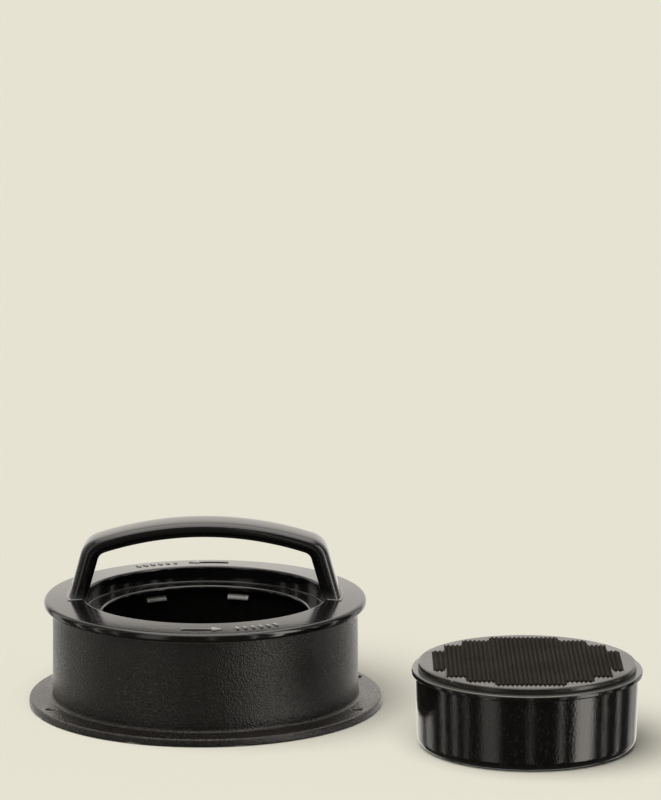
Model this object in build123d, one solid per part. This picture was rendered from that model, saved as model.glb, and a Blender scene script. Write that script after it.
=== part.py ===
from build123d import *

import os
from math import cos, degrees, radians, sin, sqrt

# A round press for burger patties, with its slider set standing beside it. Millimetres, +Z up.
# The origin is on the axis of the press, on the surface that the base stands on.

# Mould base: a thin ring on a wide foot flange, with a floor ledge round an ejection opening.
BASE_HEIGHT = 38.0
RING_R = 59.0
RING_DRAFT = 0.4
RING_WALL = 1.8
FOOT_R = 68.5
FOOT_THICK = 3.0
LEDGE_TOP = 4.5
EJECT_R = 50.0
FOOT_HOLE_R = 2.1
FOOT_HOLE_CIRCLE_R = 63.7
FOOT_HOLE_ANGLE = 23.0

# Ridged plate: the loose floor of the mould, with grill ribs on its top.
PLATE_R = 55.75
PLATE_THICK = 2.2
RIB_COUNT = 9
RIB_PITCH = 11.3
RIB_WIDTH = 2.4
RIB_HEIGHT = 1.2
RIB_MARGIN = 5.0
RIB_ROUNDING = 0.5

# Press cup: the full-size plunger, closed at the bottom.
CUP_R = 56.0
CUP_WALL = 2.85
CUP_HEIGHT = 30.5
CUP_FLOOR = 2.4
CUP_EDGE = 3.0

# Bayonet between the press cup and the head: lugs inside the cup, slots in the head's band.
BAYONET_COUNT = 4
BAYONET_ANGLE = 27.0
BAYONET_TWIST = 22.0
LUG_DEPTH = 1.4
LUG_HEIGHT = 1.6
LUG_DROP = 2.9
LUG_SPAN = 2.2
LUG_GAP = 2.2
SLOT_CLEAR = 0.4

# Head: flanged cap with a bayonet band under it and a recessed ledge in its opening.
# The top of the flange falls away from the opening to the rim by the crown.
HEAD_R = 62.5
HEAD_THICK = 4.2
HEAD_CROWN = 0.9
HEAD_OPENING_R = 47.0
HEAD_RECESS = 6.3
HEAD_LEDGE_THICK = 1.8
HEAD_LEDGE_R = 39.6
HEAD_SKIN = 1.8
BAND_R = 52.8
BAND_WALL = 2.0
BAND_DEPTH = 10.7

# Stuffing cup: the small plunger that hangs under the head.
STUFF_R = 44.0
STUFF_DRAFT = 0.6
STUFF_WALL = 2.0
STUFF_DEPTH = 31.0
STUFF_EDGE = 6.0

# Handle: an arched strap whose feet snap into two sockets in the head.
HANDLE_RISE = 29.8
HANDLE_SHOULDER = 21.5
HANDLE_FOOT_X = 52.7
HANDLE_SHOULDER_X = 46.8
HANDLE_THICK_TOP = 6.0
HANDLE_INNER_FOOT_X = 45.5
HANDLE_INNER_X = 40.6
HANDLE_INNER_Z = 17.0
HANDLE_WIDTH = 18.0
HANDLE_EDGE = 2.2
HANDLE_OUTER_BEND = 9.0
HANDLE_INNER_BEND = 4.0
HANDLE_CHANNEL_LOW = 3.0
HANDLE_CHANNEL_WIDTH = 9.0
HANDLE_CHANNEL_DEPTH = 2.0
TONGUE_THICK = 1.5
TONGUE_WIDTH = 8.0
TONGUE_LENGTH = 8.0
SOCKET_CLEAR = 0.1

# Slider set: a small cup and a finely ridged plate, standing on the table beside the base.
SLIDER_R = 41.9
SLIDER_DRAFT = 0.9
SLIDER_RIM_R = 43.4
SLIDER_RIM_THICK = 2.0
SLIDER_WALL = 2.5
SLIDER_HEIGHT = 29.2
SLIDER_FLOOR = 2.2
SLIDER_EDGE = 3.5
SLIDER_PLATE_R = 40.9
SLIDER_PLATE_THICK = 2.4
RIDGE_PITCH = 1.7
RIDGE_WIDTH = 0.95
RIDGE_HEIGHT = 0.6
# The ridge field narrows in steps: half-width across the ridges, half-length along them.
RIDGE_STEPS = [(12.5, 35.5), (23.0, 30.5), (30.0, 23.5), (35.0, 14.5)]
SET_DISTANCE = 137.0
SET_ANGLE = -27.0

# Tabs inside the two small cups, which the head's fixing turns under.
TAB_ANGLES = [73.0, 120.0, 253.0, 300.0]
TAB_DEPTH = 1.8
TAB_HEIGHT = 1.4
TAB_DROP = 2.0
TAB_SPREAD = 9.0

# Flat pads on the flange that the handle's feet stand on.
PAD_R = 53.6
PAD_WIDTH = 21.0

# Raised marks on the head's flange, flat on top and sunk into its slope.
MARK_R = 55.0
MARK_WIDTH = 1.0
MARK_TOP = 0.1
MARK_DEPTH = 0.9
MARK_STARTS = [-98.0, 82.0]
ARROW_SPREAD = 12.0
ARROW_LENGTH = 4.2
ARROW_HALF_WIDTH = 2.2
BAR_COUNT = 6
BAR_FIRST = 22.0
BAR_STEP = 3.2
BAR_SPREAD = 1.2

# How far a small raised feature reaches into the wall that it grows from.
ROOT = 0.5

# Levels that follow from the sizes above, with every piece seated on the one below it.
PLATE_Z = LEDGE_TOP
CUP_Z = PLATE_Z + PLATE_THICK + RIB_HEIGHT
CUP_TOP = CUP_Z + CUP_HEIGHT
HEAD_TOP = CUP_TOP + HEAD_THICK
BAND_BOTTOM = HEAD_TOP - BAND_DEPTH
LEDGE_BOTTOM = HEAD_TOP - HEAD_RECESS - HEAD_LEDGE_THICK
STUFF_BOTTOM = HEAD_TOP - STUFF_DEPTH


def turned(outline):
    """Solid of revolution about Z from corners (radius, height, rounding)."""
    face = make_face(Polyline(*[(r, z) for r, z, _ in outline], close=True).edges())
    for r, z, rounding in outline:
        if rounding:
            corner = face.vertices().sort_by_distance(Vector(r, z, 0))[0]
            face = fillet(corner, rounding)
    return revolve(Plane.XZ * face, Axis.Z)


def arc_block(inner, outer, low, high, middle, spread):
    """Piece of a ring between two radii and two heights, spread degrees wide about an angle."""
    section = Pos((inner + outer) / 2, (low + high) / 2) * Rectangle(outer - inner, high - low)
    block = revolve(Plane.XZ * section, Axis.Z, revolution_arc=spread)
    return Rot(0, 0, middle - spread / 2) * block


def bayonet_angles():
    return [BAYONET_ANGLE + 360 / BAYONET_COUNT * i for i in range(BAYONET_COUNT)]


def span_angle(length, radius):
    """Angle in degrees that an arc of this length covers at this radius."""
    return degrees(length / radius)


def inner_tabs(radius, rim):
    """Small tabs on the inner wall of a cup, below its rim."""
    low = rim - TAB_DROP - TAB_HEIGHT
    high = rim - TAB_DROP
    inner = radius - TAB_DEPTH
    return [arc_block(inner, radius + ROOT, low, high, a, TAB_SPREAD) for a in TAB_ANGLES]


def mould_base():
    inner = RING_R - RING_WALL
    body = turned([
        (EJECT_R, 0, 0.4),
        (FOOT_R, 0, 0.5),
        (FOOT_R, FOOT_THICK, 1.0),
        (RING_R + RING_DRAFT, FOOT_THICK, 1.4),
        (RING_R, BASE_HEIGHT, 0.6),
        (inner, BASE_HEIGHT, 0.6),
        (inner, LEDGE_TOP, 0.8),
        (EJECT_R, LEDGE_TOP, 0.5),
    ])
    for side in (FOOT_HOLE_ANGLE, 180 - FOOT_HOLE_ANGLE):
        for angle in (side, -side):
            x = FOOT_HOLE_CIRCLE_R * cos(radians(angle))
            y = FOOT_HOLE_CIRCLE_R * sin(radians(angle))
            body -= Pos(x, y, FOOT_THICK / 2) * Cylinder(FOOT_HOLE_R, FOOT_THICK + 2)
    return body


def rib(length):
    """Straight rib along Y with round ends and softened top edges, standing on Z = 0."""
    bar = extrude(Rot(0, 0, 90) * SlotOverall(length, RIB_WIDTH), RIB_HEIGHT)
    top = bar.edges().group_by(Axis.Z)[-1]
    return fillet(top, RIB_ROUNDING)


def ridged_plate():
    top = PLATE_Z + PLATE_THICK
    plate = turned([
        (0, PLATE_Z, 0),
        (PLATE_R, PLATE_Z, 0.5),
        (PLATE_R, top, 1.0),
        (0, top, 0),
    ])
    ribs = []
    for i in range(RIB_COUNT):
        x = (i - (RIB_COUNT - 1) / 2) * RIB_PITCH
        length = 2 * sqrt((PLATE_R - RIB_MARGIN) ** 2 - x ** 2)
        ribs.append(Pos(x, 0, top) * rib(length))
    return plate.fuse(*ribs)


def press_cup():
    inner = CUP_R - CUP_WALL
    floor = CUP_Z + CUP_FLOOR
    body = turned([
        (0, CUP_Z, 0),
        (CUP_R, CUP_Z, CUP_EDGE),
        (CUP_R, CUP_TOP, 0.7),
        (inner, CUP_TOP, 0.7),
        (inner, floor, 2.0),
        (0, floor, 0),
    ])
    lugs = []
    high = CUP_TOP - LUG_DROP
    low = high - LUG_HEIGHT
    spread = span_angle(LUG_SPAN, inner)
    offset = span_angle((LUG_SPAN + LUG_GAP) / 2, inner)
    for angle in bayonet_angles():
        for middle in (angle - offset, angle + offset):
            lugs.append(arc_block(inner - LUG_DEPTH, inner + ROOT, low, high, middle, spread))
    return body.fuse(*lugs)


def bayonet_slots():
    """Entry gaps and turning grooves, cut in the outside of the head's band."""
    inner = CUP_R - CUP_WALL
    depth_r = inner - LUG_DEPTH - SLOT_CLEAR
    high = CUP_TOP - LUG_DROP + SLOT_CLEAR
    low = CUP_TOP - LUG_DROP - LUG_HEIGHT - SLOT_CLEAR
    spread = span_angle(2 * LUG_SPAN + LUG_GAP + 2 * SLOT_CLEAR, depth_r) + 1
    cuts = []
    for angle in bayonet_angles():
        cuts.append(arc_block(depth_r, inner + 1, BAND_BOTTOM - 1, high, angle, spread))
        turn_middle = angle - BAYONET_TWIST / 2
        cuts.append(arc_block(depth_r, inner + 1, low, high, turn_middle, BAYONET_TWIST + spread))
    return cuts


def flange_marks():
    """A generic turning arrow and a row of short bars, raised on the flange, front and back."""
    marks = []
    high = HEAD_TOP - MARK_TOP
    low = HEAD_TOP - MARK_DEPTH
    arrow_points = [(0, ARROW_LENGTH), (-ARROW_HALF_WIDTH, 0), (ARROW_HALF_WIDTH, 0)]
    arrow_head = extrude(Polygon(*arrow_points, align=None), high - low)
    for start in MARK_STARTS:
        outer = MARK_R + MARK_WIDTH
        marks.append(arc_block(MARK_R, outer, low, high, start + ARROW_SPREAD / 2, ARROW_SPREAD))
        tip = Rot(0, 0, start + ARROW_SPREAD) * Pos((MARK_R + outer) / 2, 0, low)
        marks.append(tip * arrow_head)
        for i in range(BAR_COUNT):
            middle = start + BAR_FIRST + BAR_STEP * i
            marks.append(arc_block(MARK_R - 1, outer + 1, low, high, middle, BAR_SPREAD))
    return marks


def foot_pads():
    """Level pads on the sloping flange, under the handle's feet."""
    inner = HEAD_OPENING_R + 1
    spread = span_angle(PAD_WIDTH, PAD_R)
    return [arc_block(inner, PAD_R, HEAD_TOP - MARK_DEPTH, HEAD_TOP, a, spread) for a in (0, 180)]


def head_cap():
    under = HEAD_TOP - HEAD_THICK
    recess = HEAD_TOP - HEAD_RECESS
    wall = HEAD_OPENING_R + HEAD_SKIN
    body = turned([
        (HEAD_LEDGE_R, LEDGE_BOTTOM, 0.6),
        (wall, LEDGE_BOTTOM, 0.5),
        (wall, under, 0),
        (BAND_R - BAND_WALL, under, 0),
        (BAND_R - BAND_WALL, BAND_BOTTOM, 0.3),
        (BAND_R, BAND_BOTTOM, 0.4),
        (BAND_R, under, 0.3),
        (HEAD_R, under, 1.3),
        (HEAD_R, HEAD_TOP - HEAD_CROWN, 1.6),
        (HEAD_OPENING_R, HEAD_TOP, 1.0),
        (HEAD_OPENING_R, recess, 0.6),
        (HEAD_LEDGE_R, recess, 0.9),
    ])
    body = body.fuse(*flange_marks(), *foot_pads())
    body = body.cut(*bayonet_slots())
    socket = Box(TONGUE_THICK + 2 * SOCKET_CLEAR, TONGUE_WIDTH + 4 * SOCKET_CLEAR, HEAD_THICK + 2)
    middle = (wall + BAND_R - BAND_WALL) / 2
    for side in (-1, 1):
        body -= Pos(side * middle, 0, HEAD_TOP - HEAD_THICK / 2) * socket
    return body


def stuffing_cup():
    inner = STUFF_R - STUFF_WALL
    low_r = STUFF_R - STUFF_DRAFT
    floor = STUFF_BOTTOM + STUFF_WALL
    body = turned([
        (0, STUFF_BOTTOM, 0),
        (low_r, STUFF_BOTTOM, STUFF_EDGE),
        (STUFF_R, LEDGE_BOTTOM, 0),
        (inner, LEDGE_BOTTOM, 0.4),
        (low_r - STUFF_WALL, floor, STUFF_EDGE - STUFF_WALL),
        (0, floor, 0),
    ])
    return body.fuse(*inner_tabs(inner, LEDGE_BOTTOM))


def arch_lines(foot_x, foot_z, bend_x, bend_z, rise):
    """Leaning leg, shallow arc and leaning leg, from the left foot to the right one."""
    return [
        Line((-foot_x, foot_z), (-bend_x, bend_z)),
        ThreePointArc((-bend_x, bend_z), (0, rise), (bend_x, bend_z)),
        Line((bend_x, bend_z), (foot_x, foot_z)),
    ]


def handle_outline():
    """Arched strap seen from the front, feet at height 0."""
    outer = arch_lines(HANDLE_FOOT_X, 0, HANDLE_SHOULDER_X, HANDLE_SHOULDER, HANDLE_RISE)
    rise = HANDLE_RISE - HANDLE_THICK_TOP
    inner = arch_lines(HANDLE_INNER_FOOT_X, 0, HANDLE_INNER_X, HANDLE_INNER_Z, rise)
    feet = [Line((side * HANDLE_FOOT_X, 0), (side * HANDLE_INNER_FOOT_X, 0)) for side in (-1, 1)]
    face = make_face(outer + inner + feet)
    bends = [
        (HANDLE_SHOULDER_X, HANDLE_SHOULDER, HANDLE_OUTER_BEND),
        (HANDLE_INNER_X, HANDLE_INNER_Z, HANDLE_INNER_BEND),
    ]
    for x, z, radius in bends:
        for side in (-1, 1):
            corner = face.vertices().sort_by_distance(Vector(side * x, z, 0))[0]
            face = fillet(corner, radius)
    return face


def handle_channel():
    """Shallow groove along the inside of the strap, seen from the front."""
    low = HANDLE_CHANNEL_LOW
    rise = HANDLE_RISE - HANDLE_THICK_TOP + HANDLE_CHANNEL_DEPTH
    side = HANDLE_INNER_X + HANDLE_CHANNEL_DEPTH
    foot = HANDLE_INNER_FOOT_X + HANDLE_CHANNEL_DEPTH / 2
    arch = arch_lines(foot, low, side, HANDLE_INNER_Z, rise)
    return make_face(arch + [Line((foot, low), (-foot, low))])


def handle():
    strap = extrude(Plane.XZ * handle_outline(), HANDLE_WIDTH / 2, both=True)
    long_edges = [
        e for e in strap.edges()
        if abs(abs(e.center().Y) - HANDLE_WIDTH / 2) < 0.01 and e.center().Z > 0.01
    ]
    strap = fillet(long_edges, HANDLE_EDGE)
    strap -= extrude(Plane.XZ * handle_channel(), HANDLE_CHANNEL_WIDTH / 2, both=True)
    middle = (HEAD_OPENING_R + HEAD_SKIN + BAND_R - BAND_WALL) / 2
    tongues = []
    for side in (-1, 1):
        tongue = Box(TONGUE_THICK, TONGUE_WIDTH, TONGUE_LENGTH + 1)
        tongues.append(Pos(side * middle, 0, (1 - TONGUE_LENGTH) / 2) * tongue)
    return Pos(0, 0, HEAD_TOP) * strap.fuse(*tongues)


def set_place():
    x = SET_DISTANCE * cos(radians(SET_ANGLE))
    y = SET_DISTANCE * sin(radians(SET_ANGLE))
    return Pos(x, y, 0)


def slider_cup():
    inner = SLIDER_R - SLIDER_WALL
    low_r = SLIDER_R - SLIDER_DRAFT
    rim_low = SLIDER_HEIGHT - SLIDER_RIM_THICK
    body = turned([
        (0, 0, 0),
        (low_r, 0, SLIDER_EDGE),
        (SLIDER_R, rim_low, 0.4),
        (SLIDER_RIM_R, rim_low, 0.6),
        (SLIDER_RIM_R, SLIDER_HEIGHT, 0.8),
        (inner, SLIDER_HEIGHT, 0.8),
        (low_r - SLIDER_WALL, SLIDER_FLOOR, 2.0),
        (0, SLIDER_FLOOR, 0),
    ])
    return set_place() * body.fuse(*inner_tabs(inner, SLIDER_HEIGHT))


def slider_plate():
    plate = turned([
        (0, 0, 0),
        (SLIDER_PLATE_R, 0, 0.6),
        (SLIDER_PLATE_R, SLIDER_PLATE_THICK, 0.9),
        (0, SLIDER_PLATE_THICK, 0),
    ])
    ridges = []
    count = int(RIDGE_STEPS[-1][0] / RIDGE_PITCH)
    for i in range(-count, count + 1):
        x = i * RIDGE_PITCH
        half = next(length for width, length in RIDGE_STEPS if abs(x) <= width)
        bar = Box(RIDGE_WIDTH, 2 * half, RIDGE_HEIGHT + 0.2)
        ridges.append(Pos(x, 0, SLIDER_PLATE_THICK + (RIDGE_HEIGHT - 0.2) / 2) * bar)
    return set_place() * Pos(0, 0, SLIDER_HEIGHT) * plate.fuse(*ridges)


nodes = {
    "mould_base": mould_base(),
    "ridged_plate": ridged_plate(),
    "press_cup": press_cup(),
    "head_cap": head_cap(),
    "stuffing_cup": stuffing_cup(),
    "handle": handle(),
    "slider_cup": slider_cup(),
    "slider_plate": slider_plate(),
}

os.makedirs("parts", exist_ok=True)
for name, shape in nodes.items():
    export_step(shape, f"parts/{name}.step")
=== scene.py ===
import math

import bmesh
import bpy
from mathutils import Matrix, Vector


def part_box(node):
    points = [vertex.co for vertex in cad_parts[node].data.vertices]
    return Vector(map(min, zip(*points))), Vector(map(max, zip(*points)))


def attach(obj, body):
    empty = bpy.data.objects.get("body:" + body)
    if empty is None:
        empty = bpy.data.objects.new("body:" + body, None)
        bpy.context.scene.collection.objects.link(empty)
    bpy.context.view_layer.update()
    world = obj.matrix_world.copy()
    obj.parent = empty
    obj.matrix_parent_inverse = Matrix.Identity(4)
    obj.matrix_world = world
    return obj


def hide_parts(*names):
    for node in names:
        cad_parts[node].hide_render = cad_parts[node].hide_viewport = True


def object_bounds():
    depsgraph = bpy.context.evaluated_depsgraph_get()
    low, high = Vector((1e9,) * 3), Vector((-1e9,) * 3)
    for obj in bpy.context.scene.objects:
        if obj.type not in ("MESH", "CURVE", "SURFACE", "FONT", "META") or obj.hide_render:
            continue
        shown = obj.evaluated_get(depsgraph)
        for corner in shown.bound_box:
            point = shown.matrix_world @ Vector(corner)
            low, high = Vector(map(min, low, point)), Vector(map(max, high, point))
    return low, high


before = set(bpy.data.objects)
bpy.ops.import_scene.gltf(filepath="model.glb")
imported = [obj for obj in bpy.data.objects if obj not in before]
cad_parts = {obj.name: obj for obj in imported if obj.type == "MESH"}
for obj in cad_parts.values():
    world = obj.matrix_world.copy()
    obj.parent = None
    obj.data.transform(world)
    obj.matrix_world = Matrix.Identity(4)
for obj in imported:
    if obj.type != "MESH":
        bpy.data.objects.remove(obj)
cad_low, cad_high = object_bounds()

MM = 0.001

# ---------------------------------------------------------------- sizes from the frame, mm

base_low, base_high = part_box("mould_base")
plate_low, plate_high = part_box("ridged_plate")
cup_low, cup_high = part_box("press_cup")
head_low, head_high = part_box("head_cap")
stuffing_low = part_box("stuffing_cup")[0]
handle_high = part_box("handle")[1]
slider_low, slider_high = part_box("slider_cup")
lid_low, lid_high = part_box("slider_plate")

BASE_HEIGHT = base_high.z / MM
FOOT_R = (base_high.x - base_low.x) / 2 / MM
PLATE_R = (plate_high.x - plate_low.x) / 2 / MM
PLATE_LOW = plate_low.z / MM
CUP_LOW = cup_low.z / MM
CUP_TOP = cup_high.z / MM
HEAD_R = (head_high.x - head_low.x) / 2 / MM
STUFF_BOTTOM = stuffing_low.z / MM
SLIDER_X = (slider_low.x + slider_high.x) / 2 / MM
SLIDER_Y = (slider_low.y + slider_high.y) / 2 / MM
SLIDER_RIM_R = (slider_high.x - slider_low.x) / 2 / MM
SLIDER_HEIGHT = slider_high.z / MM
LID_R = (lid_high.x - lid_low.x) / 2 / MM
LID_LOW = lid_low.z / MM

# ---------------------------------------------------------------- driving dimensions, mm

# Mould base: a thin ring on a foot flange, with a floor ledge inside.
RING_R = 59.0
RING_DRAFT = 0.4
RING_WALL = 1.8
FOOT_THICK = 3.0
LEDGE_TOP = 4.5
EJECT_R = 50.0
FOOT_HOLE_R = 2.1
FOOT_HOLE_CIRCLE_R = 63.7
FOOT_HOLE_ANGLE = 23.0
HOLE_FLARE = 0.4

# Ridged plate: nine ribs, each with a shallow groove round its foot.
PLATE_THICK = 2.2
PLATE_ROUNDING = 1.0
RIB_COUNT = 9
RIB_PITCH = 11.3
RIB_WIDTH = 2.4
RIB_HEIGHT = (plate_high.z - plate_low.z) / MM - PLATE_THICK
RIB_MARGIN = 5.0
RIB_SQUARENESS = 3.2
GROOVE_WIDTH = 0.75
GROOVE_DEPTH = 0.22

# Press cup, and the bayonet between it and the head. Angles are in degrees. The slots end a little
# off the facets of the turned pieces, so that no two edges fall on each other when they are cut.
CUP_R = 56.0
CUP_WALL = 2.85
CUP_INNER_R = CUP_R - CUP_WALL
CUP_FLOOR = 2.4
CUP_EDGE = 3.0
LUG_DROP = 2.9
LUG_HEIGHT = 1.6
LUG_DEPTH = 1.4
LUG_SPREAD = 2.37
LUG_OFFSET = 2.37
BAYONET_ANGLES = [27.0, 117.0, 207.0, 297.0]
SEGMENTS = 240
STEP_ANGLE = 360 / SEGMENTS
BAYONET_TWIST = 15 * STEP_ANGLE
SLOT_SPREAD = 6.1 * STEP_ANGLE
SLOT_CLEAR = 0.4

# Handle: the lines of its outer and inner faces, each as (x, height) above the flange.
HANDLE_RISE = 29.8
HANDLE_SHOULDER = (46.8, 21.5)
HANDLE_FOOT_X = 52.7
HANDLE_THICK_TOP = 6.0
HANDLE_INNER_FOOT_X = 45.5
HANDLE_INNER = (40.6, 17.0)
HANDLE_OUTER_BEND = 9.0
HANDLE_INNER_BEND = 4.0
HANDLE_HALF_WIDTH = 9.0
HANDLE_CHANNEL_LOW = 3.0
HANDLE_CHANNEL_FADE = 1.5
HANDLE_CHANNEL_HALF = 4.5
HANDLE_CHANNEL_DEPTH = 2.0

# Head: a flange round an opening with a recessed ledge, and a band under it.
HEAD_TOP = handle_high.z / MM - HANDLE_RISE
HEAD_THICK = 4.2
HEAD_UNDER = HEAD_TOP - HEAD_THICK
HEAD_CROWN = 0.9
HEAD_OPENING_R = 47.0
HEAD_RECESS = 6.3
HEAD_LEDGE_R = 39.6
HEAD_LEDGE_THICK = 1.8
HEAD_SKIN = 1.8
BAND_R = 52.8
BAND_WALL = 2.0
BAND_DEPTH = 10.7
BAND_BOTTOM = HEAD_TOP - BAND_DEPTH
LEDGE_BOTTOM = HEAD_TOP - HEAD_RECESS - HEAD_LEDGE_THICK

# Marks on the flange, and the pads that the handle stands on. Angles are in degrees. The crown of the
# flange falls away under the marks, so that they stand proud of it without passing its inner edge.
MARK_R = 55.0
MARK_WIDTH = 1.0
MARK_DROP = 0.1
MARK_HEIGHT = 0.8
MARK_TOP = HEAD_TOP - MARK_DROP
MARK_LOW = MARK_TOP - MARK_HEIGHT
BAR_OVERHANG = 1.0
MARK_STARTS = [-98.0, 82.0]
ARROW_SPREAD = 12.0
ARROW_LENGTH = 4.2
ARROW_HALF_WIDTH = 2.2
BAR_COUNT = 6
BAR_FIRST = 22.0
BAR_STEP = 3.2
BAR_SPREAD = 1.2
PAD_INNER_R = 48.0
PAD_R = 53.6
PAD_SPREAD = 22.5

# Stuffing cup, which hangs under the head.
STUFF_R = 44.0
STUFF_DRAFT = 0.6
STUFF_WALL = 2.0
STUFF_EDGE = 6.0

# Slider cup, with a thin outward rim.
SLIDER_R = 41.9
SLIDER_DRAFT = 0.9
SLIDER_RIM_THICK = 2.0
SLIDER_WALL = 2.5
SLIDER_FLOOR = 2.2
SLIDER_EDGE = 3.5

# Slider plate. Its ridge field narrows in steps: half-width across the ridges, half-length along them.
LID_THICK = 2.4
LID_ROUNDING = 0.8
RIDGE_PITCH = 1.7
RIDGE_WIDTH = 1.2
RIDGE_HEIGHT = (lid_high.z - lid_low.z) / MM - LID_THICK
RIDGE_SQUARENESS = 2.2
RIDGE_STEPS = [(12.5, 35.5), (23.0, 30.5), (30.0, 23.5), (35.0, 14.5)]

# Tabs inside the two small cups, measured down from the rim and in from the wall.
TAB_ANGLES = [73.0, 120.0, 253.0, 300.0]
TAB_SPREAD = 12.0
TAB_LOW = 3.6
TAB_SHOULDER = 2.9
TAB_HIGH = 1.7
TAB_REACH = 2.0
TAB_CHAMFER = 1.1

# How far a small raised piece reaches into its wall, and a cutter past the surface that it cuts.
ROOT = 0.3
PAST = 1.0

# ---------------------------------------------------------------- camera

CAMERA_DISTANCE = 1.70
CAMERA_HEIGHT = 0.452
AIM_X = (cad_low.x + cad_high.x) / 2
AIM_Z = 0.119
LENS = 203.0


def make_camera():
    data = bpy.data.cameras.new("camera")
    data.lens = LENS
    camera = bpy.data.objects.new("camera", data)
    bpy.context.scene.collection.objects.link(camera)
    camera.location = (AIM_X, -CAMERA_DISTANCE, CAMERA_HEIGHT)
    aim = Vector((AIM_X, 0, AIM_Z))
    camera.rotation_euler = (aim - camera.location).to_track_quat("-Z", "Y").to_euler()
    bpy.context.scene.camera = camera


make_camera()

# ---------------------------------------------------------------- materials

# Each band is (value of a node where a look starts, value where it is full). The size of the gloss
# patches is in mm, and the rim's band is in mm below the rim.
# Along the edge band and the rim band the surface is smoothed and painted paler: on the edges as wear and
# painted highlight, on the rim as painted highlight.
EDGE_BAND = (0.52, 0.60)
FLECK_BAND = (0.52, 0.72)
PATCH_BAND = (0.3, 0.7)
PATCH_SIZE = 26.0
RIM_BAND = (0.5, 0.1)

# Shares of a material's own grain, depth and roughness: the finer grain over the coarse one, the size of
# its flecks, the gloss of its patches, how much a fleck shines, and what is left on the smoothed edges and
# rim.
FINE_GRAIN = 0.4
FINE_DEPTH = 0.3
FLECK_GRAIN = 1.15
PATCH_GLOSS = (0.85, 1.15)
FLECK_SHINE = 0.25
RUBBED_RELIEF = 0.1
RUBBED_ROUGHNESS = 0.5


def new_material(name):
    m = bpy.data.materials.new(name)
    m.use_nodes = True
    nodes = m.node_tree.nodes
    return m, nodes, m.node_tree.links, nodes["Principled BSDF"]


def noise(nodes, links, place, size_mm, detail, stretch=None):
    """Noise of a given grain size in mm. Stretch is the length of a grain along Z over its width."""
    n = nodes.new("ShaderNodeTexNoise")
    n.inputs["Scale"].default_value = 1 / (size_mm * MM)
    n.inputs["Detail"].default_value = detail
    vector = place.outputs["Object"]
    if stretch:
        squeeze = nodes.new("ShaderNodeMapping")
        squeeze.inputs["Scale"].default_value = (1, 1, 1 / stretch)
        links.new(vector, squeeze.inputs["Vector"])
        vector = squeeze.outputs["Vector"]
    links.new(vector, n.inputs["Vector"])
    return n.outputs["Fac"]


def remap(nodes, links, value, low, high, to_low, to_high):
    r = nodes.new("ShaderNodeMapRange")
    r.inputs["From Min"].default_value = low
    r.inputs["From Max"].default_value = high
    r.inputs["To Min"].default_value = to_low
    r.inputs["To Max"].default_value = to_high
    links.new(value, r.inputs["Value"])
    return r.outputs["Result"]


def blend_colour(nodes, links, factor, a, b):
    """Mix of two colours. Each is a colour or the output of another node."""
    mix = nodes.new("ShaderNodeMix")
    mix.data_type = "RGBA"
    links.new(factor, mix.inputs["Factor"])
    for name, colour in (("A", a), ("B", b)):
        if isinstance(colour, tuple):
            mix.inputs[name].default_value = (*colour, 1)
        else:
            links.new(colour, mix.inputs[name])
    return mix.outputs["Result"]


def wear_highlight_share(nodes, links, place, rim):
    """Smoothed share with a painted highlight: hard edges, partly wear too, and all of the rim at the
    height given in mm.
    """
    edge = nodes.new("ShaderNodeNewGeometry").outputs["Pointiness"]
    wear_highlight_mask = remap(nodes, links, edge, *EDGE_BAND, 0.0, 1.0)
    if rim is None:
        return wear_highlight_mask
    split = nodes.new("ShaderNodeSeparateXYZ")
    links.new(place.outputs["Object"], split.inputs["Vector"])
    start, full = [(rim - depth) * MM for depth in RIM_BAND]
    smooth_rim_highlight = remap(nodes, links, split.outputs["Z"], start, full, 0.0, 1.0)
    either = nodes.new("ShaderNodeMath")
    either.operation = "MAXIMUM"
    links.new(wear_highlight_mask, either.inputs[0])
    links.new(smooth_rim_highlight, either.inputs[1])
    return either.outputs["Value"]


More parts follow.
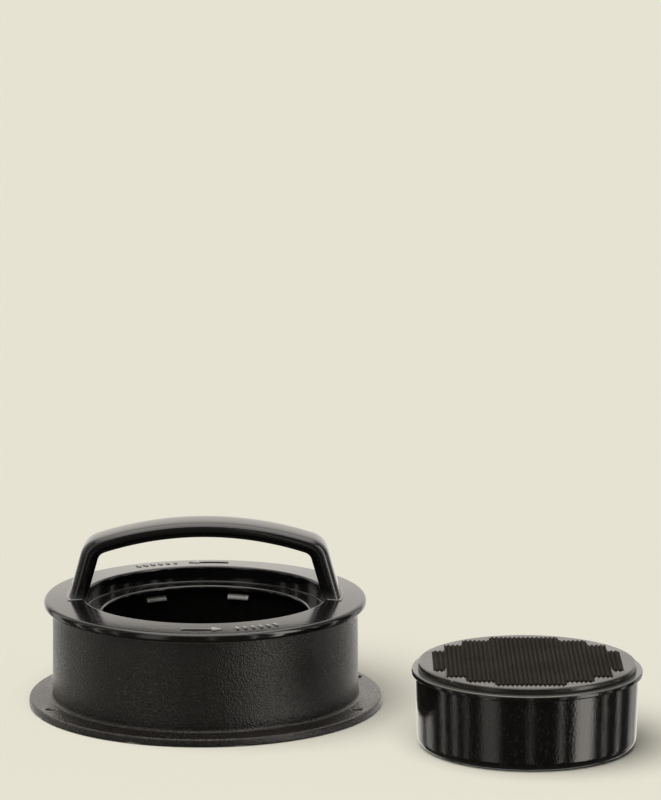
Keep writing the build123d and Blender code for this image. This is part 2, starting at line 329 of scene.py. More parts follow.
def moulded(
    name, colour, fleck, wear_and_highlight, roughness, grain, depth,
    flecks=0.35, stretch=None, specular=0.5, rim=None,
):
    """Moulded plastic: leathery grain, pale flecks, patchy gloss, and edges rubbed smoother and paler.

    Grain is the size of one grain and depth the height of the relief, both in mm. Flecks is how much of
    the fleck colour shows, stretch a grain's length over its width, and rim the height of a smooth rim,
    which is painted paler as a highlight.
    """
    m, nodes, links, shader = new_material(name)
    shader.inputs["Specular IOR Level"].default_value = specular
    place = nodes.new("ShaderNodeTexCoord")
    wear_highlight_mask = wear_highlight_share(nodes, links, place, rim)
    grain_left = remap(nodes, links, wear_highlight_mask, 0.0, 1.0, 1.0, RUBBED_RELIEF)
    coarse = noise(nodes, links, place, grain, 2.0, stretch)
    fine = noise(nodes, links, place, grain * FINE_GRAIN, 2.0)
    patches = noise(nodes, links, place, PATCH_SIZE, 3.0)
    speckle = noise(nodes, links, place, grain * FLECK_GRAIN, 1.0, stretch)

    first = nodes.new("ShaderNodeBump")
    first.inputs["Distance"].default_value = depth * MM
    links.new(coarse, first.inputs["Height"])
    links.new(grain_left, first.inputs["Strength"])
    second = nodes.new("ShaderNodeBump")
    second.inputs["Distance"].default_value = depth * FINE_DEPTH * MM
    links.new(fine, second.inputs["Height"])
    links.new(grain_left, second.inputs["Strength"])
    links.new(first.outputs["Normal"], second.inputs["Normal"])
    links.new(second.outputs["Normal"], shader.inputs["Normal"])

    spots = remap(nodes, links, speckle, *FLECK_BAND, 0.0, 2 * flecks)
    ground = blend_colour(nodes, links, spots, colour, fleck)
    # Paler colour on the edges and the rim: painted highlight, and on the edges partly wear too.
    links.new(blend_colour(nodes, links, wear_highlight_mask, ground, wear_and_highlight), shader.inputs["Base Color"])

    shiny, dull = [roughness * share for share in PATCH_GLOSS]
    gloss = remap(nodes, links, patches, *PATCH_BAND, shiny, dull)
    sparkle = nodes.new("ShaderNodeMath")
    sparkle.operation = "MULTIPLY_ADD"
    sparkle.inputs[1].default_value = -FLECK_SHINE * roughness
    links.new(spots, sparkle.inputs[0])
    links.new(gloss, sparkle.inputs[2])
    smooth_edge = nodes.new("ShaderNodeMix")
    links.new(wear_highlight_mask, smooth_edge.inputs["Factor"])
    links.new(sparkle.outputs["Value"], smooth_edge.inputs["A"])
    smooth_edge.inputs["B"].default_value = roughness * RUBBED_ROUGHNESS
    links.new(smooth_edge.outputs["Result"], shader.inputs["Roughness"])
    return m


# The last colour of each material is painted on its edges as wear and highlight, and on its rim, where a
# rim is given, as painted highlight.
satin = moulded(
    "satin_black_grained", (0.0062, 0.005, 0.004), (0.024, 0.0205, 0.0175), (0.30, 0.28, 0.25),
    roughness=0.31, grain=0.72, depth=0.30, flecks=0.4, rim=BASE_HEIGHT,
)
fine = moulded(
    "fine_black_grained", (0.0036, 0.0037, 0.0046), (0.016, 0.0162, 0.0185), (0.38, 0.38, 0.37),
    roughness=0.28, grain=0.62, depth=0.21, specular=0.40, rim=CUP_TOP,
)
glossy = moulded(
    "gloss_black_smooth", (0.0042, 0.004, 0.004), (0.008, 0.008, 0.008), (0.09, 0.088, 0.084),
    roughness=0.14, grain=1.6, depth=0.015, flecks=0.25,
)
semi = moulded(
    "semi_gloss_black", (0.0052, 0.0047, 0.0043), (0.014, 0.013, 0.012), (0.09, 0.088, 0.084),
    roughness=0.27, grain=1.0, depth=0.035, flecks=0.25, specular=0.23,
)
polished = moulded(
    "polished_black_streaked", (0.0034, 0.0031, 0.0027), (0.018, 0.0165, 0.0145), (0.10, 0.097, 0.088),
    roughness=0.09, grain=0.75, depth=0.042, flecks=0.35, stretch=1.8, specular=0.40, rim=SLIDER_HEIGHT,
)
plate = moulded(
    "grey_brown_grained", (0.046, 0.036, 0.033), (0.190, 0.155, 0.142), (0.28, 0.24, 0.22),
    roughness=0.44, grain=0.75, depth=0.42, flecks=0.5,
)
dark = moulded(
    "dark_grey_border", (0.008, 0.0072, 0.006), (0.022, 0.020, 0.0175), (0.11, 0.105, 0.092),
    roughness=0.24, grain=0.6, depth=0.05, specular=0.40,
)
ridged = moulded(
    "dark_grey_ridged", (0.012, 0.010, 0.0078), (0.024, 0.0205, 0.0165), (0.038, 0.033, 0.027),
    roughness=0.58, grain=0.6, depth=0.05, specular=0.01,
)
rubbed_black = moulded(
    "gloss_black_rubbed", (0.030, 0.029, 0.027), (0.06, 0.058, 0.055), (0.42, 0.41, 0.38),
    roughness=0.24, grain=0.6, depth=0.03,
)
# Pale colour for the tabs inside the small cups, which paints a glint on them, with a paler painted
# highlight on their edges.
pale_painted_glint = moulded(
    "gloss_black_painted_glint", (0.36, 0.35, 0.325), (0.50, 0.49, 0.455), (0.72, 0.70, 0.65),
    roughness=0.24, grain=0.6, depth=0.03,
)

# ---------------------------------------------------------------- mesh helpers

# Edges whose faces meet at more than SHARP stay hard. Points within MERGE mm of each other become one.
SHARP = math.radians(34)
CORNER_STEPS = 6
MERGE = 0.002


def soften(b):
    """Smooth faces, with the hard edges kept sharp."""
    b.normal_update()
    for face in b.faces:
        face.smooth = True
    for e in b.edges:
        e.smooth = len(e.link_faces) != 2 or e.calc_face_angle() < SHARP


def link(name, b, material=None, even=False):
    """Object made from a bmesh in mm. Even keeps flat faces flat beside their rounded edges."""
    soften(b)
    bmesh.ops.scale(b, verts=b.verts, vec=(MM, MM, MM))
    mesh = bpy.data.meshes.new(name)
    b.to_mesh(mesh)
    b.free()
    made = bpy.data.objects.new(name, mesh)
    bpy.context.scene.collection.objects.link(made)
    if material:
        mesh.materials.append(material)
    if even:
        made.modifiers.new("even_normals", "WEIGHTED_NORMAL").keep_sharp = True
    return made


def cut(piece, cutter):
    """Takes the cutter's volume out of the piece, and removes the cutter."""
    trim = piece.modifiers.new("cut", "BOOLEAN")
    trim.operation = "DIFFERENCE"
    trim.solver = "EXACT"
    trim.object = cutter
    view = bpy.context.evaluated_depsgraph_get()
    mesh = bpy.data.meshes.new_from_object(piece.evaluated_get(view))
    piece.modifiers.clear()
    piece.data = mesh
    bpy.data.objects.remove(cutter)
    b = bmesh.new()
    b.from_mesh(mesh)
    bmesh.ops.remove_doubles(b, verts=b.verts, dist=MERGE * MM)
    soften(b)
    b.to_mesh(mesh)
    b.free()
    piece.modifiers.new("even_normals", "WEIGHTED_NORMAL").keep_sharp = True


def shift(piece, x, y, z):
    """Moves a piece's mesh by a distance in mm. The object stays at the origin."""
    piece.data.transform(Matrix.Translation((x * MM, y * MM, z * MM)))


def stand_for(piece, body, slot, *cad_nodes):
    """The piece rides on a body and stands for CAD nodes. Its slot is not used."""
    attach(piece, body)
    if cad_nodes:
        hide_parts(*cad_nodes)


def span(b, rows, closed=False):
    """Quads between neighbouring rows of vertices. A closed row joins its last vertex to its first."""
    for a, c in zip(rows, rows[1:]):
        last = len(a) if closed else len(a) - 1
        for i in range(last):
            j = (i + 1) % len(a)
            b.faces.new([a[i], a[j], c[j], c[i]])


def rounded(outline):
    """Corners (radius, height, rounding) of a closed outline, as points with the corners rounded."""
    points = []
    for i, (r, z, rounding) in enumerate(outline):
        here = Vector((r, z))
        if not rounding:
            points.append(here)
            continue
        before = Vector(outline[i - 1][:2]) - here
        after = Vector(outline[(i + 1) % len(outline)][:2]) - here
        half = before.angle(after) / 2
        reach = rounding / math.tan(half)
        start = before.normalized() * reach
        end = after.normalized() * reach
        centre = (start + end).normalized() * rounding / math.sin(half)
        first = math.atan2(start.y - centre.y, start.x - centre.x)
        turn = math.atan2(end.y - centre.y, end.x - centre.x) - first
        turn = (turn + math.pi) % (2 * math.pi) - math.pi
        for k in range(CORNER_STEPS + 1):
            a = first + turn * k / CORNER_STEPS
            points.append(here + centre + rounding * Vector((math.cos(a), math.sin(a))))
    return points


def turned(b, outline, x=0.0, y=0.0):
    """Surface of revolution about the upright axis at (x, y). Points on the axis become poles."""
    rows = []
    for p in rounded(outline):
        if p.x < MERGE:
            rows.append([b.verts.new((x, y, p.y))])
            continue
        angles = [2 * math.pi * i / SEGMENTS for i in range(SEGMENTS)]
        rows.append([b.verts.new((x + p.x * math.cos(a), y + p.x * math.sin(a), p.y)) for a in angles])
    for a, c in zip(rows, rows[1:] + rows[:1]):
        if len(a) == 1 and len(c) == 1:
            continue
        for i in range(SEGMENTS):
            j = (i + 1) % SEGMENTS
            corners = [a[i % len(a)], a[j % len(a)], c[j % len(c)], c[i % len(c)]]
            b.faces.new(list(dict.fromkeys(corners)))
    bmesh.ops.recalc_face_normals(b, faces=b.faces)


def arc_bar(b, profile, middle, spread, x=0.0, y=0.0):
    """Bar along an arc: a closed profile of (radius, height) points swept spread degrees about an angle."""
    steps = max(2, round(spread / STEP_ANGLE))
    rows = []
    for i in range(steps + 1):
        a = math.radians(middle + spread * (i / steps - 0.5))
        rows.append([b.verts.new((x + r * math.cos(a), y + r * math.sin(a), z)) for r, z in profile])
    span(b, rows, closed=True)
    b.faces.new(rows[0])
    b.faces.new(rows[-1])


def sector(b, inner, outer, low, high, middle, spread):
    """Upright prism over a sector of a ring, with one face on top and one below."""
    steps = max(2, round(spread / STEP_ANGLE))
    angles = [math.radians(middle + spread * (i / steps - 0.5)) for i in range(steps + 1)]
    outline = [(inner * math.cos(a), inner * math.sin(a)) for a in angles]
    outline += [(outer * math.cos(a), outer * math.sin(a)) for a in reversed(angles)]
    rows = [[b.verts.new((x, y, z)) for x, y in outline] for z in (low, high)]
    span(b, rows, closed=True)
    for row in rows:
        b.faces.new(row)


def box_profile(inner, outer, low, high):
    return [(inner, low), (outer, low), (outer, high), (inner, high)]


def round_edges(b, width):
    """Rounds every hard edge of a bmesh."""
    bmesh.ops.recalc_face_normals(b, faces=b.faces)
    hard = [e for e in b.edges if e.calc_face_angle() > SHARP]
    bmesh.ops.bevel(b, geom=hard, offset=width, segments=2, affect="EDGES", profile=0.6)


def mirrored(steps):
    return sorted({s for v in steps for s in (v, -v)})


# ---------------------------------------------------------------- turned pieces


def make_mould_base():
    """Thin ring on a wide foot flange with four small holes, and a floor ledge inside."""
    inner = RING_R - RING_WALL
    b = bmesh.new()
    turned(b, [
        (EJECT_R, 0, 0.4),
        (FOOT_R, 0, 0.5),
        (FOOT_R, FOOT_THICK, 1.0),
        (RING_R + RING_DRAFT, FOOT_THICK, 1.4),
        (RING_R, BASE_HEIGHT, 0.6),
        (inner, BASE_HEIGHT, 0.6),
        (inner, LEDGE_TOP, 0.8),
        (EJECT_R, LEDGE_TOP, 0.5),
    ])
    base = link("mould_base_look", b, satin)
    b = bmesh.new()
    for side in (FOOT_HOLE_ANGLE, 180 - FOOT_HOLE_ANGLE):
        for angle in (side, -side):
            a = math.radians(angle)
            turned(b, [
                (0, -PAST, 0),
                (FOOT_HOLE_R, -PAST, 0),
                (FOOT_HOLE_R, FOOT_THICK - HOLE_FLARE, 0),
                (FOOT_HOLE_R + 2 * HOLE_FLARE, FOOT_THICK + HOLE_FLARE, 0),
                (0, FOOT_THICK + HOLE_FLARE, 0),
            ], FOOT_HOLE_CIRCLE_R * math.cos(a), FOOT_HOLE_CIRCLE_R * math.sin(a))
    cut(base, link("foot_hole_cutters", b))
    stand_for(base, "base", "satin_black", "mould_base")


def make_press_cup():
    """Full-size plunger, closed at the bottom, with pairs of lugs inside its rim."""
    b = bmesh.new()
    turned(b, [
        (0, CUP_LOW, 0),
        (CUP_R, CUP_LOW, CUP_EDGE),
        (CUP_R, CUP_TOP, 0.7),
        (CUP_INNER_R, CUP_TOP, 0.7),
        (CUP_INNER_R, CUP_LOW + CUP_FLOOR, 2.0),
        (0, CUP_LOW + CUP_FLOOR, 0),
    ])
    stand_for(link("press_cup_look", b, fine, even=True), "cup", "fine_grain_black", "press_cup")
    b = bmesh.new()
    high = CUP_TOP - LUG_DROP
    profile = box_profile(CUP_INNER_R - LUG_DEPTH, CUP_INNER_R + ROOT, high - LUG_HEIGHT, high)
    for angle in BAYONET_ANGLES:
        for middle in (angle - LUG_OFFSET, angle + LUG_OFFSET):
            arc_bar(b, profile, middle, LUG_SPREAD)
    round_edges(b, 0.2)
    stand_for(link("cup_lugs", b, rubbed_black), "cup", "fine_grain_black")


def make_head_cap():
    """Flanged cap with a recessed ledge in its opening and a slotted band under it."""
    wall = HEAD_OPENING_R + HEAD_SKIN
    b = bmesh.new()
    turned(b, [
        (HEAD_LEDGE_R, LEDGE_BOTTOM, 0.6),
        (wall, LEDGE_BOTTOM, 0.5),
        (wall, HEAD_UNDER, 0),
        (BAND_R - BAND_WALL, HEAD_UNDER, 0),
        (BAND_R - BAND_WALL, BAND_BOTTOM, 0.3),
        (BAND_R, BAND_BOTTOM, 0.4),
        (BAND_R, HEAD_UNDER, 0.3),
        (HEAD_R, HEAD_UNDER, 1.3),
        (HEAD_R, HEAD_TOP - HEAD_CROWN, 1.6),
        (HEAD_OPENING_R, HEAD_TOP, 1.0),
        (HEAD_OPENING_R, HEAD_TOP - HEAD_RECESS, 0.6),
        (HEAD_LEDGE_R, HEAD_TOP - HEAD_RECESS, 0.9),
    ])
    cap = link("head_cap_look", b, glossy)
    deep = CUP_INNER_R - LUG_DEPTH - SLOT_CLEAR
    high = CUP_TOP - LUG_DROP + SLOT_CLEAR
    low = CUP_TOP - LUG_DROP - LUG_HEIGHT - SLOT_CLEAR
    for bottom, turn in ((low, BAYONET_TWIST), (BAND_BOTTOM - PAST, 0.0)):
        b = bmesh.new()
        for angle in BAYONET_ANGLES:
            sector(b, deep, CUP_INNER_R + PAST, bottom, high, angle - turn / 2, turn + SLOT_SPREAD)
        bmesh.ops.recalc_face_normals(b, faces=b.faces)
        cut(cap, link("slot_cutters", b))
    stand_for(cap, "head", "gloss_black", "head_cap")


def make_flange_marks():
    """Turning arrow and row of short bars at the front and back, and the pads under the handle's feet."""
    b = bmesh.new()
    outer = MARK_R + MARK_WIDTH
    middle_r = MARK_R + MARK_WIDTH / 2
    for start in MARK_STARTS:
        profile = box_profile(MARK_R, outer, MARK_LOW, MARK_TOP)
        arc_bar(b, profile, start + ARROW_SPREAD / 2, ARROW_SPREAD)
        a = math.radians(start + ARROW_SPREAD)
        away = Vector((math.cos(a), math.sin(a), 0))
        along = Vector((-math.sin(a), math.cos(a), 0))
        corners = [along * ARROW_LENGTH, away * -ARROW_HALF_WIDTH, away * ARROW_HALF_WIDTH]
        rows = []
        for z in (MARK_LOW, MARK_TOP):
            centre = away * middle_r + Vector((0, 0, z))
            rows.append([b.verts.new(centre + c) for c in corners])
        span(b, rows, closed=True)
        for row in rows:
            b.faces.new(row)
        for i in range(BAR_COUNT):
            profile = box_profile(MARK_R - BAR_OVERHANG, outer + BAR_OVERHANG, MARK_LOW, MARK_TOP)
            arc_bar(b, profile, start + BAR_FIRST + BAR_STEP * i, BAR_SPREAD)
    for side in (0, 180):
        arc_bar(b, box_profile(PAD_INNER_R, PAD_R, MARK_LOW, HEAD_TOP), side, PAD_SPREAD)
    round_edges(b, 0.14)
    stand_for(link("flange_marks", b, rubbed_black), "head", "gloss_black")


def make_stuffing_cup():
    """Small plunger under the head, with a full rounded lower edge."""
    inner = STUFF_R - STUFF_WALL
    low_r = STUFF_R - STUFF_DRAFT
    floor = STUFF_BOTTOM + STUFF_WALL
    b = bmesh.new()
    turned(b, [
        (0, STUFF_BOTTOM, 0),
        (low_r, STUFF_BOTTOM, STUFF_EDGE),
        (STUFF_R, LEDGE_BOTTOM, 0),
        (inner, LEDGE_BOTTOM, 0.4),
        (low_r - STUFF_WALL, floor, STUFF_EDGE - STUFF_WALL),
        (0, floor, 0),
    ])
    stand_for(link("stuffing_cup_look", b, semi, even=True), "head", "gloss_black", "stuffing_cup")


def make_slider_cup():
    """Small cup of the slider set, with an outward rim."""
    inner = SLIDER_R - SLIDER_WALL
    low_r = SLIDER_R - SLIDER_DRAFT
    rim_low = SLIDER_HEIGHT - SLIDER_RIM_THICK
    b = bmesh.new()
    turned(b, [
        (0, 0, 0),
        (low_r, 0, SLIDER_EDGE),
        (SLIDER_R, rim_low, 0.4),
        (SLIDER_RIM_R, rim_low, 0.6),
        (SLIDER_RIM_R, SLIDER_HEIGHT, 0.8),
        (inner, SLIDER_HEIGHT, 0.8),
        (low_r - SLIDER_WALL, SLIDER_FLOOR, 2.0),
        (0, SLIDER_FLOOR, 0),
    ], SLIDER_X, SLIDER_Y)
    stand_for(link("slider_cup_look", b, polished, even=True), "slider", "polished_black", "slider_cup")


make_mould_base()
make_press_cup()
make_head_cap()
make_flange_marks()
make_stuffing_cup()
make_slider_cup()

# ---------------------------------------------------------------- ribbed discs

# Degrees between columns at the rim, distances of the rows from the rim and fractions of the way to a
# rib's end, and how far in and how high the rounding under the rim passes.
OUTLINE_STEP = 3
OUTLINE_SHARE = 0.9996
RIM_STEPS = [1.0, 0.75, 0.5, 0.3, 0.15, 0.05, 0.0]
MIDDLE_SHARES = [0, 0.25, 0.5, 0.7, 0.85]
UNDER_RIM = [(0, 0.45), (0.13, 0.13), (0.45, 0)]
SMALLEST_GAP = 0.05
RIM_GAP = 0.3
# Columns shorter than FULL_REACH, or whose ribs end before FULL_END, have their rows closer together.
FULL_REACH = 6
FULL_END = 10


def disc_columns(radius, wanted):
    """X positions across a disc: the wanted ones, and more towards the rim for a round outline."""
    edge = radius * OUTLINE_SHARE
    outline = [edge * math.cos(math.radians(a)) for a in range(0, 181, OUTLINE_STEP)]
    inside = [x for x in wanted if abs(x) < edge - RIM_GAP]
    columns = []
    for x in sorted(inside + outline):
        if not columns or x - columns[-1] > SMALLEST_GAP:
            columns.append(x)
    return columns


def disc_rows(reach, end, end_steps):
    """Y positions from the middle to the rim of one column, close together where its ribs end."""
    shrink = min(1.0, reach / FULL_REACH, end / FULL_END)
    rows = [end * share for share in MIDDLE_SHARES]
    rows += [end + s * shrink for s in end_steps]
    rows += [reach - s * shrink for s in RIM_STEPS]
    return [-y for y in reversed(rows[1:])] + rows


def ribbed_disc(name, radius, thick, rounding, columns, end_at, end_steps, height_at, material):
    """Disc with rounded rims, whose top rises by height_at(x, y). Its underside is at z = 0."""
    b = bmesh.new()
    grid = []
    for x in disc_columns(radius, columns):
        reach = math.sqrt(radius ** 2 - x ** 2)
        end = max(min(end_at(x), reach - 2), 0.5 * reach)
        column = []
        for y in disc_rows(reach, end, end_steps):
            inset = max(radius - math.hypot(x, y), 0)
            fall = rounding - math.sqrt(max(rounding ** 2 - max(rounding - inset, 0) ** 2, 0))
            column.append(b.verts.new((x, y, thick - fall + height_at(x, y))))
        grid.append(column)
    span(b, grid)
    loop = [c[0] for c in grid] + grid[-1][1:] + [c[-1] for c in reversed(grid[:-1])]
    loop += list(reversed(grid[0][1:-1]))
    rings = [loop]
    for inset, z in UNDER_RIM:
        share = 1 - inset / radius
        rings.append([b.verts.new((v.co.x * share, v.co.y * share, z)) for v in loop])
    span(b, rings, closed=True)
    b.faces.new(rings[-1])
    bmesh.ops.remove_doubles(b, verts=b.verts, dist=2 * MERGE)
    bmesh.ops.recalc_face_normals(b, faces=b.faces)
    return link(name, b, material)


def dome(gap, half, height, squareness):
    """Height of a rounded bar at a distance from its middle line. Squareness 2 is an ellipse."""
    if gap >= half:
        return 0.0
    return height * (1 - (gap / half) ** squareness) ** (1 / squareness)


def make_ridged_plate():
    """Loose floor of the mould: nine rounded grill ribs, each with a shallow groove round its foot."""
    half = RIB_WIDTH / 2
    middles = [(i - (RIB_COUNT - 1) / 2) * RIB_PITCH for i in range(RIB_COUNT)]
    steps = [0, 0.4, 0.7, 0.9, 1.04, 1.13, 1.18, half, 1.4, 1.58, 1.76, half + GROOVE_WIDTH]
    columns = [m + s for m in middles for s in mirrored(steps)]

    def end_at(x):
        return math.sqrt(max((PLATE_R - RIB_MARGIN) ** 2 - x ** 2, 1))

    def height_at(x, y):
        middle = min(middles, key=lambda m: abs(m - x))
        straight = math.sqrt((PLATE_R - RIB_MARGIN) ** 2 - middle ** 2) - half
        gap = math.hypot(x - middle, max(abs(y) - straight, 0))
        if gap < half:
            return dome(gap, half, RIB_HEIGHT, RIB_SQUARENESS)
        if gap < half + GROOVE_WIDTH:
            return -GROOVE_DEPTH * math.sin(math.pi * (gap - half) / GROOVE_WIDTH)
        return 0.0

    end_steps = [-1.5, -1.2, -0.9, -0.6, -0.35, -0.15, 0, 0.2, 0.4, 0.6, 0.8, 1.1]
    disc = ribbed_disc(
        "ridged_plate_look", PLATE_R, PLATE_THICK, PLATE_ROUNDING,
        columns, end_at, end_steps, height_at, plate,
    )
    shift(disc, 0, 0, PLATE_LOW)
    stand_for(disc, "floor_plate", "grey_brown_plate", "ridged_plate")


def make_slider_plate():
    """Finely ridged lid of the slider set, with a plain border round its stepped ridge field."""
    half = RIDGE_WIDTH / 2
    count = int(RIDGE_STEPS[-1][0] / RIDGE_PITCH)
    middles = [i * RIDGE_PITCH for i in range(-count, count + 1)]
    columns = [m + s for m in middles for s in mirrored([0, 0.2, 0.38, 0.5, 0.57, half])]

    def end_at(x):
        for width, length in RIDGE_STEPS:
            if abs(x) <= width + half:
                return length
        return RIDGE_STEPS[-1][1]

    def height_at(x, y):
        middle = min(middles, key=lambda m: abs(m - x))
        straight = end_at(middle) - half
        gap = math.hypot(x - middle, max(abs(y) - straight, 0))
        return dome(gap, half, RIDGE_HEIGHT, RIDGE_SQUARENESS)

    end_steps = [-0.7, -0.5, -0.3, -0.15, -0.05, 0, 0.15]
    disc = ribbed_disc(
        "slider_plate_look", LID_R, LID_THICK, LID_ROUNDING,
        columns, end_at, end_steps, height_at, dark,
    )
    disc.data.materials.append(ridged)
    for face in disc.data.polygons:
        x, y = face.center.x / MM, face.center.y / MM
        inside = abs(x) < RIDGE_STEPS[-1][0] + half and abs(y) < end_at(x)
        if inside and face.center.z > (LID_THICK - 0.1) * MM:
            face.material_index = 1
    shift(disc, SLIDER_X, SLIDER_Y, LID_LOW)
    stand_for(disc, "slider_lid", "dark_grey_plate", "slider_plate")


make_ridged_plate()
make_slider_plate()

# ---------------------------------------------------------------- tabs inside the small cups


def make_tabs(name, x, y, wall, rim, body, slot):
    """Four short bars inside a cup, with their upper edge sloping towards the middle."""
    profile = [
        (wall + ROOT, rim - TAB_LOW),
        (wall - TAB_REACH, rim - TAB_LOW),
        (wall - TAB_REACH, rim - TAB_SHOULDER),
        (wall - TAB_REACH + TAB_CHAMFER, rim - TAB_HIGH),
        (wall + ROOT, rim - TAB_HIGH),
    ]
    b = bmesh.new()
    for angle in TAB_ANGLES:
        arc_bar(b, profile, angle, TAB_SPREAD, x, y)
    round_edges(b, 0.22)
    # The tabs are painted pale as a glint.
    stand_for(link(name, b, pale_painted_glint), body, slot)


make_tabs("stuffing_tabs", 0, 0, STUFF_R - STUFF_WALL, LEDGE_BOTTOM, "head", "gloss_black")
make_tabs(
    "slider_tabs", SLIDER_X, SLIDER_Y, SLIDER_R - SLIDER_WALL, SLIDER_HEIGHT, "slider", "polished_black",
)

# ---------------------------------------------------------------- handle

# Steps along each part of a line, and how much of a bend's size lies on each side of its corner.
LEG_STEPS = 8
BEND_STEPS = 8
ARCH_STEPS = 18
BEND_SHARE = 0.55


def arc_point(x, side, rise):
    """Height at x of the arc through (-side.x, side.z), (0, rise) and (side.x, side.z)."""
    drop = rise - side[1]
    radius = (side[0] ** 2 + drop ** 2) / (2 * drop)
    return rise - radius + math.sqrt(radius ** 2 - x ** 2)


def arch_side(foot_x, side, rise, bend):
    """Right half of one line of the handle, from the foot up to the middle: leg, bend, arch."""
    foot = Vector((foot_x, 0))
    corner = Vector(side)
    leg = (foot - corner).normalized()
    reach = bend * BEND_SHARE
    low = corner + leg * reach
    along = Vector((-reach, arc_point(side[0] - reach, side, rise) - side[1]))
    high = corner + along
    points = [foot.lerp(low, i / LEG_STEPS) for i in range(LEG_STEPS)]
    for i in range(BEND_STEPS + 1):
        t = i / BEND_STEPS
        points.append(low * (1 - t) ** 2 + corner * 2 * t * (1 - t) + high * t ** 2)
    for i in range(1, ARCH_STEPS + 1):
        x = high.x * (1 - i / ARCH_STEPS)
        points.append(Vector((x, arc_point(x, side, rise))))
    return points


def handle_section(outer, inner, height):
    """Closed section of the strap as (x, y, z): crowned faces, full corners and a channel inside."""
    share = min(max((height - HANDLE_CHANNEL_LOW) / HANDLE_CHANNEL_FADE, 0), 1)
    deep = share * HANDLE_CHANNEL_DEPTH / (outer - inner).length
    # Each is (share of the thickness from outside to inside, y).
    shape = [
        (0.0, 0.0), (0.004, 2.5), (0.016, 4.6), (0.04, 6.2), (0.085, 7.3), (0.15, 8.05),
        (0.24, 8.55), (0.36, 8.88), (0.5, HANDLE_HALF_WIDTH), (0.64, 8.88), (0.76, 8.6), (0.86, 8.15),
        (0.93, 7.5), (0.975, 6.7), (1.0, 5.8), (1.0, HANDLE_CHANNEL_HALF + 0.35),
        (0.985, HANDLE_CHANNEL_HALF + 0.08), (0.95, HANDLE_CHANNEL_HALF - 0.05),
        (1.0 - deep * 0.9, HANDLE_CHANNEL_HALF - 0.15), (1.0 - deep, HANDLE_CHANNEL_HALF - 0.55),
        (1.0 - deep, 0.0),
    ]
    # Where the channel has faded out, its points lie flat on the inner face.
    if deep < 0.06:
        shape[16:] = [(1.0, 4.3), (1.0, 3.9), (1.0, 3.5), (1.0, 3.1), (1.0, 0.0)]
    points = shape + [(s, -y) for s, y in reversed(shape[1:-1])]
    return [(outer.lerp(inner, s), y) for s, y in points]


def make_handle():
    """Arched strap with crowned faces, standing on the head's two pads."""
    outer = arch_side(HANDLE_FOOT_X, HANDLE_SHOULDER, HANDLE_RISE, HANDLE_OUTER_BEND)
    inner = arch_side(
        HANDLE_INNER_FOOT_X, HANDLE_INNER, HANDLE_RISE - HANDLE_THICK_TOP, HANDLE_INNER_BEND,
    )
    pairs = [(o, i, 1) for o, i in zip(outer, inner)]
    pairs += [(o, i, -1) for o, i in reversed(list(zip(outer, inner))[:-1])]
    b = bmesh.new()
    rows = []
    for o, i, side in pairs:
        height = min(o.y, i.y)
        section = handle_section(o, i, height)
        rows.append([b.verts.new((side * p.x, y, HEAD_TOP + p.y)) for p, y in section])
    span(b, rows, closed=True)
    for end in (rows[0], rows[-1]):
        b.faces.new(end)
    bmesh.ops.recalc_face_normals(b, faces=b.faces)
    stand_for(link("handle_look", b, glossy), "head", "gloss_black", "handle")


make_handle()

# ---------------------------------------------------------------- stage and light

# Distances in mm and angles in degrees. Softness is the share of a card's width over which it fades.
STAGE_COLOUR = (0.80, 0.775, 0.66)
FLOOR_R = 30000
FLOOR_DROP = 0.2
CARD_DISTANCE = 1600
CARD_LOW = -800
CARD_HIGH = 1700
CARD_COLOUR = (1.0, 0.955, 0.89, 1)
CARD_SOFTNESS = 0.2
CEILING_Y = 300
CEILING_Z = 1800
CEILING_HALF = 1300
CEILING_BRIGHTNESS = 3.2
CEILING_SOFTNESS = 0.25
SUN_TOWARDS = (-0.35, -0.25, 1.0)
SUN_ANGLE = 75
SUN_STRENGTH = 3.13
WORLD_STRENGTH = 0.08

# Reflector cards round the object, seen only in reflections. Azimuth 0 is at the camera's side and
# 90 at +X. Each is (name, azimuth, width in degrees, brightness).
CARDS = [
    ("card_left_slit", -98, 3, 3.0),
    ("card_far_left_slit", -80, 3, 3.0),
    ("card_left_edge_slit", -64, 2, 2.4),
    ("card_front_left", -36, 24, 1.05),
    ("card_front_slit", 6, 1.6, 2.4),
    ("card_right_slit", 36, 2.4, 4.0),
    ("card_right", 60, 24, 5.0),
    ("card_far_right_slit", 84, 2.4, 4.0),
    ("card_side_slit", 104, 3, 3.5),
    ("card_back_left", -126, 20, 1.3),
    ("card_back_right", 134, 20, 1.0),
    ("card_back", 180, 84, 1.25),
]


def make_floor():
    b = bmesh.new()
    bmesh.ops.create_circle(b, cap_ends=True, segments=96, radius=FLOOR_R)
    bmesh.ops.translate(b, verts=b.verts, vec=(0, 0, -FLOOR_DROP))
    m, _, _, shader = new_material("floor_paint")
    shader.inputs["Base Color"].default_value = (*STAGE_COLOUR, 1)
    shader.inputs["Roughness"].default_value = 1.0
    shader.inputs["Specular IOR Level"].default_value = 0.0
    floor = link("floor", b, m)
    floor.visible_glossy = False


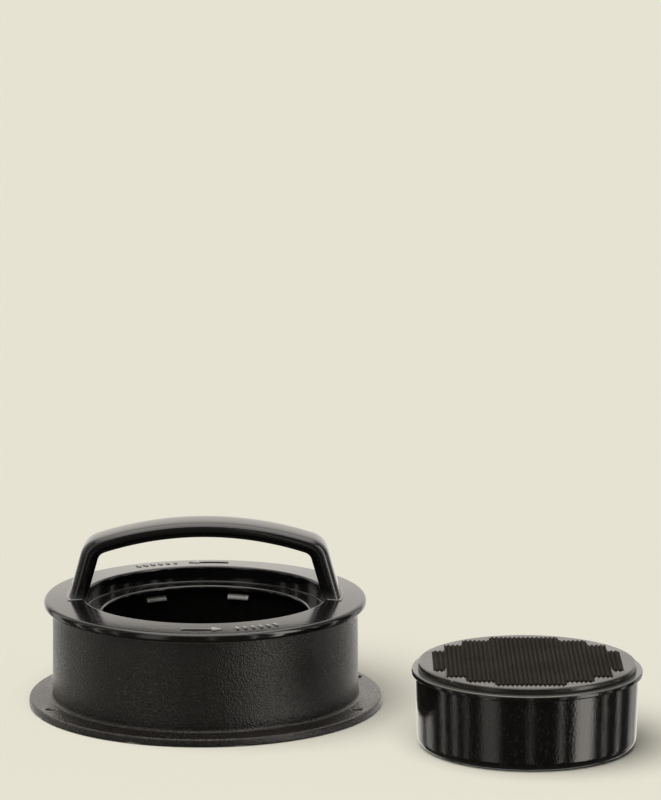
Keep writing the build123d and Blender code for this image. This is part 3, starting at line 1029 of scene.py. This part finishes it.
def glow_material(name, brightness, soft_share):
    """Light that fades out towards the two sides of a card."""
    m = bpy.data.materials.new(name)
    m.use_nodes = True
    nodes, links = m.node_tree.nodes, m.node_tree.links
    nodes.clear()
    out = nodes.new("ShaderNodeOutputMaterial")
    glow = nodes.new("ShaderNodeEmission")
    glow.inputs["Color"].default_value = CARD_COLOUR
    place = nodes.new("ShaderNodeTexCoord")
    split = nodes.new("ShaderNodeSeparateXYZ")
    side = nodes.new("ShaderNodeMath")
    side.operation = "PINGPONG"
    side.inputs[1].default_value = 0.5
    links.new(place.outputs["Generated"], split.inputs["Vector"])
    links.new(split.outputs["X"], side.inputs[0])
    faded = remap(nodes, links, side.outputs["Value"], 0, soft_share, 0, brightness)
    links.new(faded, glow.inputs["Strength"])
    links.new(glow.outputs["Emission"], out.inputs["Surface"])
    m.cycles.emission_sampling = "NONE"
    return m


def card(name, corners, brightness, soft_share):
    """Flat glowing card that shows only in reflections."""
    b = bmesh.new()
    b.faces.new([b.verts.new(c) for c in corners])
    made = link(name, b, glow_material(name, brightness, soft_share))
    made.visible_camera = False
    made.visible_diffuse = False
    made.visible_shadow = False
    made.visible_transmission = False
    return made


def upright_card(name, azimuth, width, brightness):
    """Card that stands round the object at an azimuth and faces it."""
    half = CARD_DISTANCE * math.tan(math.radians(width / 2))
    corners = [(-half, 0, CARD_LOW), (half, 0, CARD_LOW), (half, 0, CARD_HIGH), (-half, 0, CARD_HIGH)]
    made = card(name, corners, brightness, CARD_SOFTNESS)
    a = math.radians(azimuth)
    made.location = (CARD_DISTANCE * MM * math.sin(a), -CARD_DISTANCE * MM * math.cos(a), 0)
    made.rotation_euler = (0, 0, a)


def ceiling_card():
    """Level card high above the object, a little towards its back."""
    x, y, half = AIM_X / MM, CEILING_Y, CEILING_HALF
    signs = [(-1, -1), (1, -1), (1, 1), (-1, 1)]
    corners = [(x + i * half, y + j * half, CEILING_Z) for i, j in signs]
    card("card_ceiling", corners, CEILING_BRIGHTNESS, CEILING_SOFTNESS)


def sun_light():
    """Broad even light on the matt surfaces. The cards make the reflections."""
    data = bpy.data.lights.new("soft_sun", "SUN")
    data.energy = SUN_STRENGTH
    data.angle = math.radians(SUN_ANGLE)
    lamp = bpy.data.objects.new("soft_sun", data)
    bpy.context.scene.collection.objects.link(lamp)
    lamp.rotation_euler = Vector(SUN_TOWARDS).to_track_quat("Z", "Y").to_euler()
    lamp.visible_glossy = False


def make_world():
    """Dim light from all round, and the pale stage colour where the camera looks past the floor."""
    world = bpy.data.worlds.new("studio")
    bpy.context.scene.world = world
    world.use_nodes = True
    nodes, links = world.node_tree.nodes, world.node_tree.links
    dim = nodes["Background"]
    dim.inputs["Color"].default_value = (0.95, 0.93, 0.88, 1)
    dim.inputs["Strength"].default_value = WORLD_STRENGTH
    seen = nodes.new("ShaderNodeBackground")
    seen.inputs["Color"].default_value = (*STAGE_COLOUR, 1)
    ray = nodes.new("ShaderNodeLightPath")
    mix = nodes.new("ShaderNodeMixShader")
    links.new(ray.outputs["Is Camera Ray"], mix.inputs["Fac"])
    links.new(dim.outputs["Background"], mix.inputs[1])
    links.new(seen.outputs["Background"], mix.inputs[2])
    links.new(mix.outputs["Shader"], nodes["World Output"].inputs["Surface"])


make_floor()
make_world()
for row in CARDS:
    upright_card(*row)
ceiling_card()
sun_light()
bpy.context.scene.view_settings.view_transform = "Standard"
